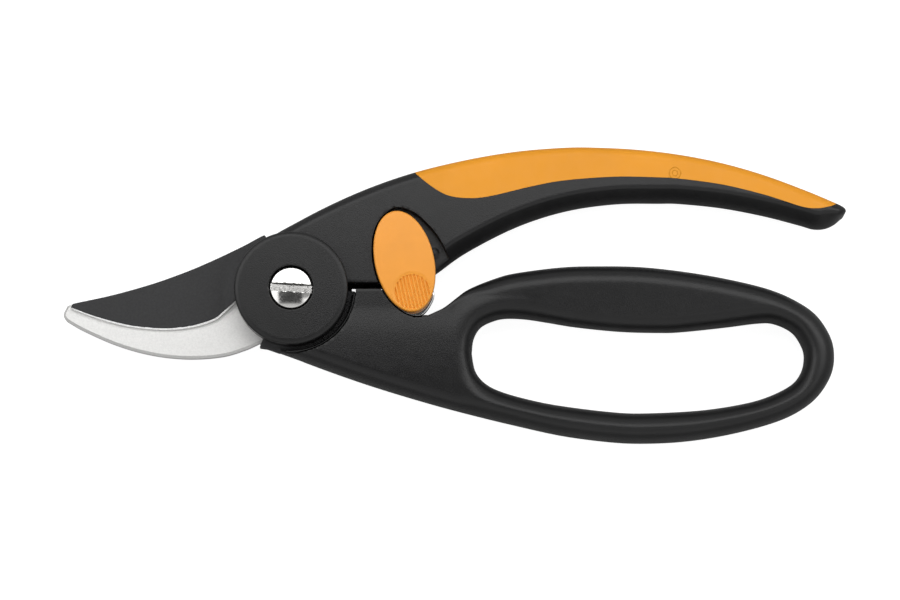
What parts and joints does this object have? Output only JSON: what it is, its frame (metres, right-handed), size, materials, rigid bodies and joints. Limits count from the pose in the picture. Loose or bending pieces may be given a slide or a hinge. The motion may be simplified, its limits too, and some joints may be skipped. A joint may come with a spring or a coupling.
{
  "type": "bypass pruner",
  "caption": "One-hand bypass pruner with a closed finger loop, a coated cutting blade passing a steel hook, a round pivot hub and a swinging oval safety lock.",
  "frame": {"origin": "on the pivot axis, in the plane of the back faces that the closed tool rests on", "axes": "+X from the pivot towards the handle ends, the blade tips lie towards -X, +Y towards the upper handle, +Z along the pivot axis from the back of the tool to its front"},
  "size_m": [0.2124, 0.0807, 0.0151],
  "materials": {
    "black_nylon": "fine moulded texture, slightly satin",
    "orange_grip": "smooth soft-touch elastomer",
    "orange_button": "fine satin moulding",
    "coated_blade": "low-friction dark coating, fine satin",
    "hook_steel": "fine blasted and ground steel",
    "bolt_steel": "polished, light turning marks",
    "plate_steel": "polished stamped sheet",
    "zinc_steel": "bright zinc plate",
    "spring_steel": "oiled spring wire",
    "bearing_bronze": "sintered bearing bronze"
  },
  "bodies": {
    "upper_lever": {"upper_handle": "black_nylon", "upper_grip": "orange_grip", "hook_blade": "hook_steel", "hub_cap": "black_nylon", "pivot_bolt": "bolt_steel", "pivot_nut": "zinc_steel", "pivot_bushing": "bearing_bronze", "head_washer": "zinc_steel", "nut_washer": "zinc_steel", "return_spring": "spring_steel", "hook_dowel_1": "zinc_steel", "hook_dowel_2": "zinc_steel", "lock_pin": "zinc_steel", "lock_washer": "spring_steel"},
    "lower_lever": {"lower_handle": "black_nylon", "cutting_blade": "coated_blade", "blade_dowel_1": "zinc_steel", "blade_dowel_2": "zinc_steel", "catch_pin": "zinc_steel"},
    "lock_lever": {"lock_button": "orange_button", "lock_plate": "plate_steel"}
  },
  "joints": [
    {"name": "handle_pivot", "type": "hinge", "parent": "upper_lever", "child": "lower_lever", "pos_m": [0, 0, 0], "axis": [0, 0, -1], "range_deg": [0, 32]},
    {"name": "lock_pivot", "type": "hinge", "parent": "upper_lever", "child": "lock_lever", "pos_m": [0.0284, 0.017, 0], "axis": [0, 0, 1], "range_deg": [0, 17]}
  ]
}
